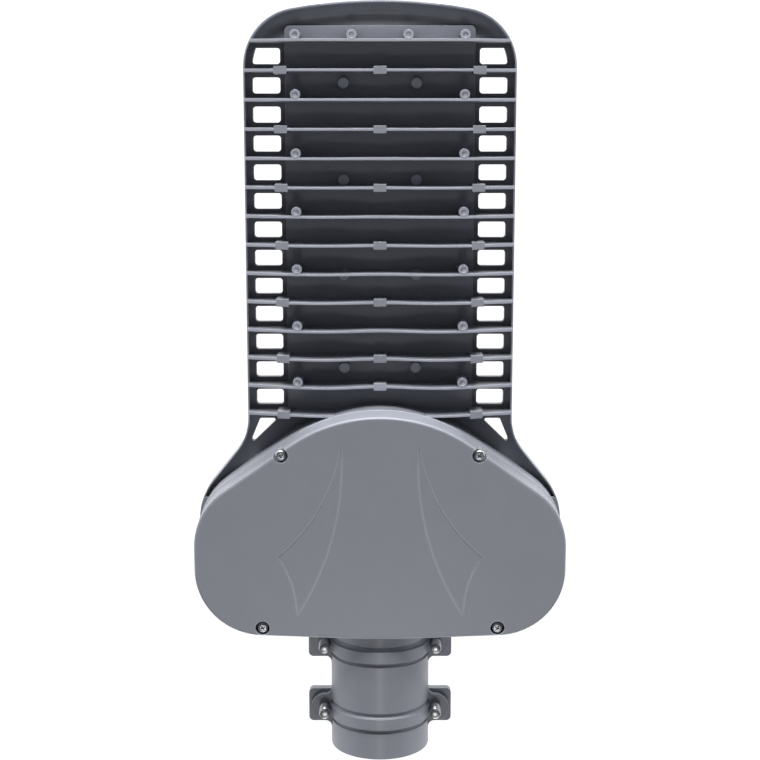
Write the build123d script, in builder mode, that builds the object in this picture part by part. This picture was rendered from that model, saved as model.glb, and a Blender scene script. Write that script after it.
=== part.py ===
"""LED street light head: a finned die casting with its driver tub, cover, optics and pole clamp.

The frame is +X across the head, +Y towards the nose, +Z up from the lit side to the fins.
The origin is the centre of the pole socket's mouth, and the pole leaves towards -Y.
"""

from build123d import *
import os
from math import atan2, cos, degrees, radians, sqrt, tan

os.makedirs("parts", exist_ok=True)

# Pole socket and its clamps
pole_radius = 30.0
pole_clearance = 0.5
socket_wall = 5.0
socket_depth = 89.2
clamp_places = (26.5, 76.5)
clamp_gap = 1.0
ear_bottom_z = -2.0
ear_thickness = 5.0
ear_radius = 10.0
ear_blend_radius = 4.8
bolt_spacing = 81.0
band_width = 12.0
band_height = 1.2
band_groove_radius = 2.0
band_groove_rise = 0.8
saddle_length = 25.0
saddle_half_width = 52.5
saddle_flange = 6.5
saddle_corner_radius = 3.5
bolt_radius = 4.0
bolt_end_z = 17.0
bolt_end_chamfer = 0.8
bolt_head_height = 5.3
bolt_head_half_flat = 6.5
washer_radius = 7.5
spot_face_clearance = 0.5
washer_thickness = 1.6

# LED frame
rail_half_width = 94.6
nose_y = 534.9
nose_bow_radius = 348.0
nose_corner_radius = 40.0
web_top_z = -10.0
web_thickness = 5.6
rim_width = 1.2
rim_height = 6.0
dish_radius = 12.4
dish_inset = 11.8
dish_floor = 0.1
rail_skirt_width = 3.0
rail_skirt_depth = 5.0

# Fins, screw bosses and ejector posts
fin_count = 14
fin_pitch = 20.0
last_fin_y = 247.5
fin_tip = 1.5
fin_draft = 1.5
fin_end_gap = 0.8
fin_end_height = 11.0
fin_shoulder_height = 21.5
fin_shoulder_x = 58.0
fin_crest_x = 37.0
nose_crest_height = 22.0
nose_dip_height = 20.5
tub_crest_height = 25.0
tub_dip_height = 17.0
boss_radius = 3.5
boss_offset = 3.5
boss_x = 58.0
nose_boss_x = 19.4
post_x = 68.3
post_width = 8.9
post_length = 5.3
boss_dimple_radius = 1.9
boss_dimple_depth = 0.7

# Windows between the fins
window_x = 79.0
window_width = 19.4
window_length = 11.0
window_corner = 2.2
window_rail = 5.9

# Flared shoulders
flare_start_y = 229.1
flare_end_y = 184.4
flare_in_radius = 40.0
flare_out_radius = 45.0
flare_inset = 0.6
flare_web_end_y = 184.4
opening_bar = 5.8
opening_inner_x = 73.4
opening_outer_x = 86.4
opening_tip_x = 95.0
opening_length = 21.0
opening_corner = 1.4

# Driver tub and cover
tub_half_width = 131.3
tub_apex_y = 253.4
tub_back_y = 91.2
tub_back_bow = 5.0
tub_apex_radius = 109.0
tub_apex_flat = 0.4
tub_slope = 35.4
tub_side_radius = 50.0
tub_back_corner = 49.0
tub_back_bow_radius = 800.0
tub_wall = 4.5
tub_floor = 3.5
tub_bottom_z = -30.0
tub_bottom_fillet = 5.0
upper_draft = 1.0
lower_draft = 4.0
joint_z = 17.0
cover_top_z = 41.0
cover_thickness = 3.0
cover_edge_fillet = 1.9
cover_ledge = 0.3
relief_depth = 0.25
relief_corners = ((27.0, 230.7), (71.4, 152.5), (58.4, 109.7))
relief_bends = ((41.5, 188.5), (61.9, 133.0), (34.3, 163.6))
cover_screw_places = ((68.8, 225.0), (82.8, 100.6))
cover_boss_radius = 6.5
cover_screw_radius = 2.0
cover_screw_length = 30.0
cover_head_radius = 3.8
cover_head_height = 2.6
counterbore_radius = 5.0
counterbore_depth = 3.6
gasket_inset = 1.2
gasket_width = 2.0
gasket_height = 2.0
gasket_hole_land = 1.3
gasket_clearance = 0.1

# Plate under the fins, LED boards and optics
plate_half_width = 66.0
plate_nose_y = 518.0
plate_rise = 2.0
plate_corner = 3.5
block_wall = 4.5
block_bottom_z = -23.0
board_count = 4
board_pitch = 66.5
first_board_y = 279.5
board_width = 104.0
board_length = 44.0
board_corner = 3.0
board_thickness = 1.6
board_seat_z = -13.0
chip_size = 3.5
chip_height = 0.8
chip_columns = 6
chip_column_pitch = 17.0
chip_row_pitch = 26.0
board_screw_x = 25.4
board_screw_radius = 1.5
board_screw_length = 8.0
board_head_radius = 2.8
board_head_height = 1.9
board_boss_radius = 3.6
board_boss_top_z = -4.0
lens_seat_z = -18.0
lens_thickness = 3.0
lens_half_width = 63.0
lens_nose_y = 516.3
lens_tub_y = 252.6
lens_corner = 4.0
lens_clearance = 0.3
lens_base_radius = 7.8
lens_tip_radius = 5.2
lens_height = 4.2
seal_width = 3.0
seal_height = 2.0
seal_clearance = 0.2
seal_inset = 7.6
seal_tub_inset = 1.0
lens_screw_radius = 1.7
lens_screw_length = 16.0
lens_head_radius = 3.0
lens_head_height = 2.2

# Parts in the tub
driver_size = (150.0, 62.0, 36.0)
driver_y = 165.0
driver_boss_height = 4.0
driver_tab = 12.0
driver_tab_thickness = 2.0
driver_corner = 3.0
surge_size = (56.0, 30.0, 26.0)
surge_y = 216.0
surge_boss_height = 5.0
surge_tab_thickness = 3.0
surge_corner = 3.0
terminal_size = (46.0, 22.0, 22.0)
terminal_place = (48.0, 117.0)
terminal_boss_height = 8.0
terminal_ways = 3
terminal_tab_thickness = 4.0
terminal_corner = 1.5
terminal_screw_radius = 2.5
terminal_recess = 4.0
terminal_entry_radius = 2.6
clip_size = (34.0, 10.0, 5.0)
clip_place = (-46.0, 117.0)
clip_boss_height = 16.0
clip_arch_radius = 5.5
clip_arch_wall = 2.5
mount_boss_radius = 4.5
mount_screw_radius = 2.0
mount_screw_length = 7.0
mount_head_radius = 3.6
mount_head_height = 2.4
mount_tab = 9.0
gland_z = -1.0
gland_radius = 10.0
gland_half_flat = 12.0
gland_hex_length = 6.0
gland_cap_length = 14.0
gland_cable_radius = 4.5
gland_cap_round = 3.0
gland_boss_radius = 15.0
gland_boss_height = 3.0
gland_nut_length = 5.0
gland_recess_depth = 5.4

# Clearances
thread_clearance = 0.1
pass_clearance = 0.4
face_clearance = 0.2


def side_pair(place, reach):
    """Two points, left and right of a place."""
    return [(place[0] - reach, place[1]), (place[0] + reach, place[1])]


bore_radius = pole_radius + pole_clearance
tube_radius = bore_radius + socket_wall
tub_floor_z = tub_bottom_z + tub_floor
plate_top_z = web_top_z + plate_rise
saddle_top_z = ear_bottom_z - clamp_gap
saddle_flange_z = saddle_top_z - saddle_flange
fin_places = [last_fin_y + fin_pitch * row for row in range(fin_count)]
first_fin_y = fin_places[-1]
lens_bottom_z = lens_seat_z - lens_thickness
seal_inside = seal_inset + seal_width + seal_clearance
seal_tub_inside = seal_tub_inset + seal_width + seal_clearance
block_half_width = lens_half_width + lens_clearance + block_wall
block_nose_y = lens_nose_y + lens_clearance + block_wall
block_tub_y = lens_tub_y - lens_clearance - block_wall
driver_bottom_z = tub_floor_z + driver_boss_height
surge_bottom_z = tub_floor_z + surge_boss_height
terminal_bottom_z = tub_floor_z + terminal_boss_height
clip_bottom_z = tub_floor_z + clip_boss_height
washer_z = saddle_flange_z - washer_thickness
cover_seat_z = cover_top_z - counterbore_depth
gland_nut_seat_y = socket_depth + gland_recess_depth
gland_nut_corner = gland_half_flat / cos(radians(30))
gland_seat_y = tub_back_y + tub_wall + gland_boss_height
driver_screws_x = driver_size[0] / 2 + driver_tab / 2
surge_screws_x = surge_size[0] / 2 + mount_tab / 2
terminal_screws_x = terminal_size[0] / 2 + mount_tab / 2
clip_screws_x = clip_size[0] / 2 - mount_tab / 2
mounts = [
    (driver_bottom_z, [(side * driver_screws_x, driver_y) for side in (-1, 1)]),
    (surge_bottom_z, [(side * surge_screws_x, surge_y) for side in (-1, 1)]),
    (terminal_bottom_z, side_pair(terminal_place, terminal_screws_x)),
    (clip_bottom_z, side_pair(clip_place, clip_screws_x)),
]
board_places = [first_board_y + board_pitch * row for row in range(board_count)]
cover_screws_xy = [(side * x, y) for x, y in cover_screw_places for side in (-1, 1)]
boss_rows = fin_places[::-1][::2]
lens_screws_xy = [(side * boss_x, y + boss_offset) for y in boss_rows for side in (-1, 1)]
lens_screws_xy += [(side * nose_boss_x, first_fin_y + boss_offset) for side in (-1, 1)]
board_screws_xy = [(side * board_screw_x, y) for y in board_places for side in (-1, 1)]
bolts_xy = [(side * bolt_spacing / 2, y) for y in clamp_places for side in (-1, 1)]
post_rows = fin_places[::-1][1::2]
posts_xy = [(side * post_x, y) for y in post_rows for side in (-1, 1)]
posts_xy += [(0, y) for y in post_rows[:-1]] + [(0, fin_places[1])]

# Centre and turn of the nose's corner arcs, tangent to the rails and to the bowed front edge
bow_centre_y = nose_y - nose_bow_radius
corner_x = rail_half_width - nose_corner_radius
corner_y = bow_centre_y + sqrt((nose_bow_radius - nose_corner_radius) ** 2 - corner_x**2)
corner_turn = degrees(atan2(corner_y - bow_centre_y, corner_x))


def nose_edge(inset):
    """Draw the nose as one tangent chain of arcs, moved inwards by inset."""
    corner = nose_corner_radius - inset
    CenterArc((corner_x, corner_y), corner, 0, corner_turn)
    CenterArc((0, bow_centre_y), nose_bow_radius - inset, corner_turn, 180 - 2 * corner_turn)
    CenterArc((-corner_x, corner_y), corner, 180 - corner_turn, corner_turn)


def frame_outline(inset=0):
    """Face of the nose, rails and flared shoulders, closed inside the tub."""
    rail = rail_half_width - inset
    flare = tub_half_width - flare_inset - inset
    end_y = flare_end_y - flare_out_radius
    with BuildSketch() as face:
        with BuildLine():
            nose_edge(inset)
            for side in (-1, 1):
                FilletPolyline(
                    (side * rail, corner_y),
                    (side * rail, flare_start_y),
                    (side * flare, flare_end_y),
                    (side * flare, end_y),
                    radius=(flare_in_radius + inset, flare_out_radius - inset),
                )
            Line((-flare, end_y), (flare, end_y))
        make_face()
    return face.sketch


def tub_outline(z=web_top_z, inset=0):
    """Bell-shaped face of the tub at a height above the parting plane, less an inset."""
    apex_x = tub_apex_radius * tan(radians(tub_slope / 2)) + tub_apex_flat
    slope_end_y = tub_apex_y - (tub_half_width - apex_x) * tan(radians(tub_slope))
    bow_turn = atan2(tub_back_bow, tub_half_width)
    bow_point_y = tub_back_y - tub_back_bow_radius * (1 / cos(bow_turn) - 1)
    corner_back_y = bow_point_y + tub_back_bow
    with BuildSketch() as face:
        with BuildLine():
            FilletPolyline(
                (-apex_x, tub_apex_y),
                (apex_x, tub_apex_y),
                (tub_half_width, slope_end_y),
                (tub_half_width, corner_back_y),
                (0, bow_point_y),
                (-tub_half_width, corner_back_y),
                (-tub_half_width, slope_end_y),
                radius=(
                    tub_apex_radius,
                    tub_apex_radius,
                    tub_side_radius,
                    tub_back_corner,
                    tub_back_bow_radius,
                    tub_back_corner,
                    tub_side_radius,
                ),
                close=True,
            )
        make_face()
        offset(amount=-(z - web_top_z) * tan(radians(upper_draft)) - inset)
    return face.sketch


def tub_cavity():
    """Face of the hollow in tub and cover, with the screw bosses left standing in its corners."""
    with BuildSketch() as face:
        add(tub_outline(joint_z, tub_wall))
        with Locations(*cover_screws_xy):
            Circle(cover_boss_radius, mode=Mode.SUBTRACT)
    return face.sketch


def gasket_edge(inset):
    """Face inside the gasket's edge, which runs round the inner side of every screw hole."""
    with BuildSketch() as face:
        add(tub_outline(joint_z, inset))
        with Locations(*cover_screws_xy):
            Circle(cover_screw_radius + gasket_hole_land + inset, mode=Mode.SUBTRACT)
    return face.sketch


def cover_relief(side):
    """One three-cornered relief with hollow sides, drawn on the cover's face."""
    corners = [(side * x, y) for x, y in relief_corners]
    bends = [(side * x, y) for x, y in relief_bends]
    with BuildSketch() as face:
        with BuildLine():
            for start, bend, end in zip(corners, bends, corners[1:] + corners[:1]):
                ThreePointArc(start, bend, end)
        make_face()
    return face.sketch


def crest_profile(crest, dip):
    """Face under the wavy line of the fin tips: low at the rails, two crests and a middle dip."""
    base_z = web_top_z - web_thickness / 2
    tips = [
        (-rail_half_width, web_top_z + fin_end_height),
        (-fin_shoulder_x, web_top_z + fin_shoulder_height),
        (-fin_crest_x, web_top_z + crest),
        (0, web_top_z + dip),
        (fin_crest_x, web_top_z + crest),
        (fin_shoulder_x, web_top_z + fin_shoulder_height),
        (rail_half_width, web_top_z + fin_end_height),
    ]
    with BuildSketch() as face:
        with BuildLine():
            Spline(*tips)
            Polyline(tips[-1], (rail_half_width, base_z), (-rail_half_width, base_z), tips[0])
        make_face()
    return face.sketch


def screw(radius, length, head_radius, head_height):
    """Pan head screw at each location, its seat at the origin and its head on the +Z side."""
    Cylinder(radius, length, align=(Align.CENTER, Align.CENTER, Align.MAX))
    Cylinder(head_radius, head_height, align=(Align.CENTER, Align.CENTER, Align.MIN))


def from_below(places, z):
    """Locations whose +Z side faces down, for what is fitted from the lit side."""
    return Locations(*[Location((x, y, z), (180, 0, 0)) for x, y in places])


def from_above(places, z):
    """Upright locations at one height."""
    return Locations(*[Location((x, y, z)) for x, y in places])


def plate_face():
    """Rounded face of the raised plate, which runs on into the tub's wall."""
    with BuildSketch() as face:
        with Locations((0, plate_nose_y)):
            RectangleRounded(
                2 * plate_half_width,
                plate_nose_y - block_tub_y + tub_wall,
                plate_corner,
                align=(Align.CENTER, Align.MAX),
            )
    return face.sketch


def lens_face(inset=0, tub_inset=0):
    """Rounded face of the lens panel, its edge moved inwards by the insets."""
    with BuildSketch() as face:
        with Locations((0, lens_nose_y - inset)):
            RectangleRounded(
                2 * (lens_half_width - inset),
                lens_nose_y - lens_tub_y - inset - tub_inset,
                lens_corner,
                align=(Align.CENTER, Align.MAX),
            )
    return face.sketch


def half_disc(outer, low_z):
    """Disc above a height, drawn on a plane across the pole socket's axis."""
    with BuildSketch() as face:
        Circle(outer)
        with Locations((0, low_z)):
            Rectangle(4 * outer, 2 * outer, align=(Align.CENTER, Align.MIN), mode=Mode.INTERSECT)
    return face.sketch


# Space under the fin tips, lofted from its shape at the nose to its shape beside the tub
with BuildPart() as crest_space:
    with BuildSketch(Plane.XZ.offset(-plate_nose_y)):
        add(crest_profile(nose_crest_height, nose_dip_height))
    with BuildSketch(Plane.XZ.offset(-(last_fin_y - fin_pitch / 2))):
        add(crest_profile(tub_crest_height, tub_dip_height))
    loft(ruled=True)

# Fins, bosses and posts share the draft of the die and end in the same crest
fin_height = max(tub_crest_height, nose_crest_height) + 1
with BuildPart() as fin_field:
    with BuildSketch(Plane.YZ):
        with Locations(*[(y, web_top_z - 1) for y in fin_places]):
            Trapezoid(
                fin_tip + 2 * fin_height * tan(radians(fin_draft)),
                fin_height,
                90 - fin_draft,
                align=(Align.CENTER, Align.MIN),
            )
    extrude(amount=rail_half_width, both=True)
    with BuildSketch(Plane.XY.offset(web_top_z - 1)):
        with Locations(*lens_screws_xy):
            Circle(boss_radius)
        with Locations(*posts_xy):
            Rectangle(post_width, post_length)
    extrude(amount=fin_height)
    with BuildSketch(Plane.XY.offset(web_top_z - 1)):
        add(frame_outline(fin_end_gap))
    extrude(amount=fin_height + 1, mode=Mode.INTERSECT)
    add(crest_space.part, mode=Mode.INTERSECT)
    with from_above(lens_screws_xy, web_top_z + fin_shoulder_height):
        Cylinder(boss_dimple_radius, 2 * boss_dimple_depth, mode=Mode.SUBTRACT)

# Driver tub: the upper wall widens and the lower wall narrows towards the ground
with BuildPart() as tub_form:
    with BuildSketch(Plane.XY.offset(web_top_z)):
        add(tub_outline())
    extrude(amount=joint_z - web_top_z, taper=upper_draft)
    with BuildSketch(Plane.XY.offset(web_top_z)):
        add(tub_outline())
    extrude(amount=tub_bottom_z - web_top_z, taper=lower_draft)
    fillet(tub_form.faces().sort_by(Axis.Z)[0].edges(), tub_bottom_fillet)

# The casting: web, nose, tub and pole socket first, then what is cored out of them
with BuildPart() as body_casting:
    with BuildSketch(Plane.XY.offset(web_top_z)):
        add(frame_outline())
    extrude(amount=-web_thickness)
    with BuildSketch(Plane.XY.offset(web_top_z)):
        add(frame_outline())
        add(frame_outline(rim_width), mode=Mode.SUBTRACT)
    extrude(amount=rim_height)
    with BuildSketch(Plane.XY.offset(web_top_z - web_thickness)):
        add(frame_outline())
        add(frame_outline(rail_skirt_width), mode=Mode.SUBTRACT)
    extrude(amount=-rail_skirt_depth)
    with BuildSketch(Plane.XY.offset(web_top_z)):
        add(frame_outline())
        with Locations((0, first_fin_y)):
            Rectangle(
                3 * rail_half_width,
                3 * rail_half_width,
                align=(Align.CENTER, Align.MIN),
                mode=Mode.INTERSECT,
            )
        add(plate_face(), mode=Mode.SUBTRACT)
    extrude(amount=rim_height)

    with BuildSketch(Plane.XY.offset(web_top_z)):
        add(frame_outline())
        with Locations((0, flare_web_end_y)):
            Rectangle(
                2 * tub_half_width,
                tub_half_width,
                align=(Align.CENTER, Align.MAX),
                mode=Mode.INTERSECT,
            )
    extrude(amount=rim_height)

    # The dished nose is a round groove that follows its edge
    with BuildLine(Plane.XY.offset(web_top_z + dish_floor + dish_radius)) as dish_path:
        nose_edge(dish_inset)
        for side in (-1, 1):
            Line(
                (side * (rail_half_width - dish_inset), corner_y),
                (side * (rail_half_width - dish_inset), first_fin_y - fin_pitch),
            )
    dish_wire = dish_path.wires()[0]
    with BuildSketch(Plane(origin=dish_wire @ 0, z_dir=dish_wire % 0)):
        Circle(dish_radius)
    sweep(path=dish_wire, mode=Mode.SUBTRACT)

    # Plate over the boards, and the block below it that holds boards and lens panel
    with BuildSketch(Plane.XY.offset(plate_top_z)):
        add(plate_face())
    extrude(amount=block_bottom_z - plate_top_z)
    with BuildSketch(Plane.XY.offset(web_top_z - face_clearance)):
        with Locations((0, block_nose_y)):
            RectangleRounded(
                2 * block_half_width,
                block_nose_y - block_tub_y,
                lens_corner + block_wall,
                align=(Align.CENTER, Align.MAX),
            )
    extrude(amount=block_bottom_z - web_top_z + face_clearance)
    with Locations(*[(x, y, plate_top_z) for x, y in board_screws_xy]):
        Cylinder(
            board_boss_radius,
            board_boss_top_z - plate_top_z,
            align=(Align.CENTER, Align.CENTER, Align.MIN),
        )
    add(fin_field.part)
    add(tub_form.part)

    # Upper half of the pole socket, its end wall, and bands between round grooves that run into the ears
    with BuildSketch(Plane.XZ):
        add(half_disc(tube_radius, ear_bottom_z))
    extrude(amount=-(tub_back_y - face_clearance))
    with BuildSketch(Plane.XZ.offset(-socket_depth)):
        add(half_disc(tube_radius, ear_bottom_z))
        Rectangle(4 * tube_radius, 2 * (joint_z - face_clearance), mode=Mode.INTERSECT)
    extrude(amount=-(tub_back_y + tub_wall - socket_depth))
    for place in clamp_places:
        with BuildSketch(Plane.XZ.offset(-(place - band_width / 2))):
            add(half_disc(tube_radius + band_height, ear_bottom_z))
        extrude(amount=-band_width)
    band_edges = [place + side * band_width / 2 for place in clamp_places for side in (-1, 1)]
    with Locations(*[Location((0, y, 0), (90, 0, 0)) for y in band_edges]):
        Torus(tube_radius + band_groove_rise, band_groove_radius, mode=Mode.SUBTRACT)
    with BuildSketch(Plane.XY.offset(ear_bottom_z)) as ears:
        with Locations((0, gland_seat_y / 2)):
            Rectangle(2 * tube_radius, gland_seat_y)
        with Locations(*[(0, place) for place in clamp_places]):
            Rectangle(bolt_spacing, 2 * ear_radius)
        roots = ears.vertices().filter_by_position(Axis.Y, 1, gland_seat_y - 1)
        roots = roots.filter_by_position(Axis.X, -tube_radius - 1, tube_radius + 1)
        fillet(roots, ear_blend_radius)
        with Locations(*bolts_xy):
            Circle(ear_radius)
        with Locations((0, socket_depth / 2)):
            Rectangle(2 * bore_radius, 2 * socket_depth, mode=Mode.SUBTRACT)
    extrude(amount=ear_thickness)
    with BuildSketch(Plane.XZ):
        Circle(bore_radius)
    extrude(amount=-socket_depth, mode=Mode.SUBTRACT)
    with Locations(*[(x, y, ear_bottom_z) for x, y in bolts_xy]):
        Cylinder(bolt_radius + thread_clearance, 4 * ear_thickness, mode=Mode.SUBTRACT)

    # Hollow of the tub, and the groove for its gasket
    with BuildSketch(Plane.XY.offset(joint_z)):
        add(tub_cavity())
    extrude(amount=tub_floor_z - joint_z, mode=Mode.SUBTRACT)
    with BuildSketch(Plane.XY.offset(joint_z)):
        add(gasket_edge(gasket_inset))
        add(gasket_edge(gasket_inset + gasket_width), mode=Mode.SUBTRACT)
    extrude(amount=-gasket_height, mode=Mode.SUBTRACT)

    # Windows between the fins and the triangular openings in the shoulders
    with BuildSketch(Plane.XY.offset(web_top_z + rim_height)):
        for y in fin_places[:-1]:
            with Locations(*[(side * window_x, y + fin_pitch / 2) for side in (-1, 1)]):
                RectangleRounded(window_width, window_length, window_corner)
        add(frame_outline(window_rail), mode=Mode.INTERSECT)
    extrude(amount=-(rim_height + web_thickness + rail_skirt_depth), mode=Mode.SUBTRACT)
    opening_y = last_fin_y - opening_bar
    with BuildSketch(Plane.XY.offset(web_top_z + rim_height)) as openings:
        for side in (-1, 1):
            with BuildLine():
                Polyline(
                    (side * opening_inner_x, opening_y),
                    (side * opening_outer_x, opening_y),
                    (side * opening_tip_x, opening_y - opening_length),
                    close=True,
                )
            make_face()
        fillet(openings.vertices(), opening_corner)
    extrude(amount=-(rim_height + web_thickness + rail_skirt_depth), mode=Mode.SUBTRACT)

    # Recesses under the plate for boards, seal and lens panel
    with BuildSketch(Plane.XY.offset(block_bottom_z)):
        add(lens_face(-lens_clearance, -lens_clearance))
    extrude(amount=lens_seat_z - block_bottom_z, mode=Mode.SUBTRACT)
    with BuildSketch(Plane.XY.offset(lens_seat_z)):
        add(lens_face(seal_inset - seal_clearance, seal_tub_inset - seal_clearance))
    extrude(amount=seal_height, mode=Mode.SUBTRACT)
    with BuildSketch(Plane.XY.offset(lens_seat_z)):
        add(lens_face(seal_inside, seal_tub_inside))
    extrude(amount=board_seat_z - lens_seat_z, mode=Mode.SUBTRACT)
    with Locations(*[(x, y, lens_seat_z) for x, y in lens_screws_xy]):
        Cylinder(
            lens_screw_radius + thread_clearance,
            lens_screw_length - lens_thickness + face_clearance,
            align=(Align.CENTER, Align.CENTER, Align.MIN),
            mode=Mode.SUBTRACT,
        )
    with Locations(*[(x, y, board_seat_z) for x, y in board_screws_xy]):
        Cylinder(
            board_screw_radius + thread_clearance,
            board_screw_length - board_thickness + face_clearance,
            align=(Align.CENTER, Align.CENTER, Align.MIN),
            mode=Mode.SUBTRACT,
        )

    # Bosses on the tub's floor and the hole for the gland
    for top_z, places in mounts:
        with Locations(*[(x, y, top_z) for x, y in places]):
            Cylinder(
                mount_boss_radius,
                top_z - tub_floor_z + face_clearance,
                align=(Align.CENTER, Align.CENTER, Align.MAX),
            )
            Cylinder(
                mount_screw_radius + thread_clearance,
                mount_screw_length,
                align=(Align.CENTER, Align.CENTER, Align.MAX),
                mode=Mode.SUBTRACT,
            )
    with Locations(*[(x, y, joint_z) for x, y in cover_screws_xy]):
        Cylinder(
            cover_screw_radius + thread_clearance,
            cover_screw_length,
            align=(Align.CENTER, Align.CENTER, Align.MAX),
            mode=Mode.SUBTRACT,
        )
    with BuildSketch(Plane.XZ.offset(-gland_nut_seat_y)):
        with Locations((0, gland_z)):
            Circle(gland_boss_radius)
    extrude(amount=gland_nut_seat_y - gland_seat_y)
    with BuildSketch(Plane.XZ.offset(-socket_depth + tub_wall)):
        with Locations((0, gland_z)):
            Circle(gland_nut_corner + pass_clearance)
    extrude(amount=socket_depth - tub_wall - gland_nut_seat_y, mode=Mode.SUBTRACT)
    with BuildSketch(Plane.XZ.offset(-socket_depth)):
        with Locations((0, gland_z)):
            Circle(gland_radius + thread_clearance)
    extrude(amount=-2 * (gland_seat_y - socket_depth), mode=Mode.SUBTRACT)

# Cover: a flat face over a skirt that follows the tub, with a boss down each screw
with BuildPart() as driver_cover:
    with BuildSketch(Plane.XY.offset(joint_z)):
        add(tub_outline(joint_z, cover_ledge))
    extrude(amount=cover_top_z - joint_z, taper=upper_draft)
    fillet(driver_cover.faces().sort_by(Axis.Z)[-1].edges(), cover_edge_fillet)
    with BuildSketch(Plane.XY.offset(joint_z)):
        add(tub_cavity())
    extrude(amount=cover_top_z - cover_thickness - joint_z, mode=Mode.SUBTRACT)
    with BuildSketch(Plane.XY.offset(cover_top_z)):
        for side in (-1, 1):
            add(cover_relief(side))
    extrude(amount=-relief_depth, mode=Mode.SUBTRACT)
    with from_above(cover_screws_xy, cover_seat_z):
        CounterBoreHole(
            cover_screw_radius + pass_clearance,
            counterbore_radius,
            counterbore_depth,
            depth=cover_top_z - joint_z + counterbore_depth,
        )

# Sealing ring in the groove of the tub, face to face with the cover's skirt
with BuildPart() as cover_gasket:
    with BuildSketch(Plane.XY.offset(joint_z - gasket_height)):
        add(gasket_edge(gasket_inset + gasket_clearance))
        add(gasket_edge(gasket_inset + gasket_width - gasket_clearance), mode=Mode.SUBTRACT)
    extrude(amount=gasket_height)

with BuildPart() as cover_screws:
    with from_above(cover_screws_xy, cover_seat_z):
        screw(cover_screw_radius, cover_screw_length, cover_head_radius, cover_head_height)
    crowns = cover_screws.edges().filter_by(GeomType.CIRCLE).group_by(Axis.Z)[-1]
    fillet(crowns, cover_head_height / 2)


def clamp_saddle(place):
    """Lower half of one pole clamp: half a ring with a flange each side for its bolts."""
    with BuildPart() as saddle:
        with BuildSketch(Plane.XZ.offset(-(place - saddle_length / 2))):
            Circle(tube_radius)
            with Locations((0, saddle_top_z)):
                Rectangle(
                    2 * saddle_half_width,
                    saddle_flange,
                    align=(Align.CENTER, Align.MAX),
                )
            Circle(bore_radius, mode=Mode.SUBTRACT)
            with Locations((0, saddle_top_z)):
                Rectangle(
                    4 * saddle_half_width,
                    4 * saddle_half_width,
                    align=(Align.CENTER, Align.MAX),
                    mode=Mode.INTERSECT,
                )
        extrude(amount=-saddle_length)
        corners = saddle.edges().filter_by(Axis.Z).sort_by(Axis.X)
        fillet(corners[:2] + corners[-2:], saddle_corner_radius)
        with Locations(*[(side * bolt_spacing / 2, place, saddle_top_z) for side in (-1, 1)]):
            Hole(bolt_radius + pass_clearance)
        with Locations(*[(side * bolt_spacing / 2, place, saddle_flange_z) for side in (-1, 1)]):
            Cylinder(
                washer_radius + spot_face_clearance,
                tube_radius,
                align=(Align.CENTER, Align.CENTER, Align.MAX),
                mode=Mode.SUBTRACT,
            )
    return saddle


clamp_saddle_front = clamp_saddle(clamp_places[0])
clamp_saddle_rear = clamp_saddle(clamp_places[1])

with BuildPart() as clamp_washers:
    with BuildSketch(Plane.XY.offset(washer_z)):
        with Locations(*bolts_xy):
            Circle(washer_radius)
            Circle(bolt_radius + pass_clearance, mode=Mode.SUBTRACT)
    extrude(amount=washer_thickness)

with BuildPart() as clamp_bolts:
    with BuildSketch(Plane.XY.offset(washer_z - bolt_head_height)):
        with Locations(*bolts_xy):
            RegularPolygon(bolt_head_half_flat, 6, major_radius=False)
    extrude(amount=bolt_head_height)
    with BuildSketch(Plane.XY.offset(washer_z)):
        with Locations(*bolts_xy):
            Circle(bolt_radius)
    extrude(amount=bolt_end_z - washer_z)
    bolt_ends = clamp_bolts.edges().filter_by(GeomType.CIRCLE).group_by(Axis.Z)[-1]
    chamfer(bolt_ends, bolt_end_chamfer)


def led_board(place):
    """One aluminium-core board with its two screw holes."""
    with BuildPart() as board:
        with BuildSketch(Plane.XY.offset(board_seat_z - board_thickness)):
            with Locations((0, place)):
                RectangleRounded(board_width, board_length, board_corner)
            with Locations(*[(side * board_screw_x, place) for side in (-1, 1)]):
                Circle(board_screw_radius + pass_clearance, mode=Mode.SUBTRACT)
        extrude(amount=board_thickness)
    return board


def led_chips(place):
    """The two rows of emitters on one board."""
    with BuildPart() as chips:
        with BuildSketch(Plane.XY.offset(board_seat_z - board_thickness - chip_height)):
            with Locations((0, place)):
                with GridLocations(chip_column_pitch, chip_row_pitch, chip_columns, 2):
                    Rectangle(chip_size, chip_size)
        extrude(amount=chip_height)
    return chips


boards = [led_board(place) for place in board_places]
emitters = [led_chips(place) for place in board_places]

with BuildPart() as board_screws:
    with from_below(board_screws_xy, board_seat_z - board_thickness):
        screw(board_screw_radius, board_screw_length, board_head_radius, board_head_height)

# Lens panel: one moulding, clear of the boards, with a lens under each emitter
with BuildPart() as lens_panel:
    with BuildSketch(Plane.XY.offset(lens_bottom_z)):
        add(lens_face())
        with Locations(*lens_screws_xy):
            Circle(lens_screw_radius + pass_clearance, mode=Mode.SUBTRACT)
    extrude(amount=lens_thickness)
    for place in board_places:
        with Locations((0, place, lens_bottom_z)):
            with GridLocations(chip_column_pitch, chip_row_pitch, chip_columns, 2):
                Cone(
                    lens_tip_radius,
                    lens_base_radius,
                    lens_height,
                    align=(Align.CENTER, Align.CENTER, Align.MAX),
                )

with BuildPart() as lens_gasket:
    with BuildSketch(Plane.XY.offset(lens_seat_z)):
        add(lens_face(seal_inset, seal_tub_inset))
        inner_seal = lens_face(seal_inset + seal_width, seal_tub_inset + seal_width)
        add(inner_seal, mode=Mode.SUBTRACT)
    extrude(amount=seal_height)

with BuildPart() as lens_screws:
    with from_below(lens_screws_xy, lens_bottom_z):
        screw(lens_screw_radius, lens_screw_length, lens_head_radius, lens_head_height)


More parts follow.
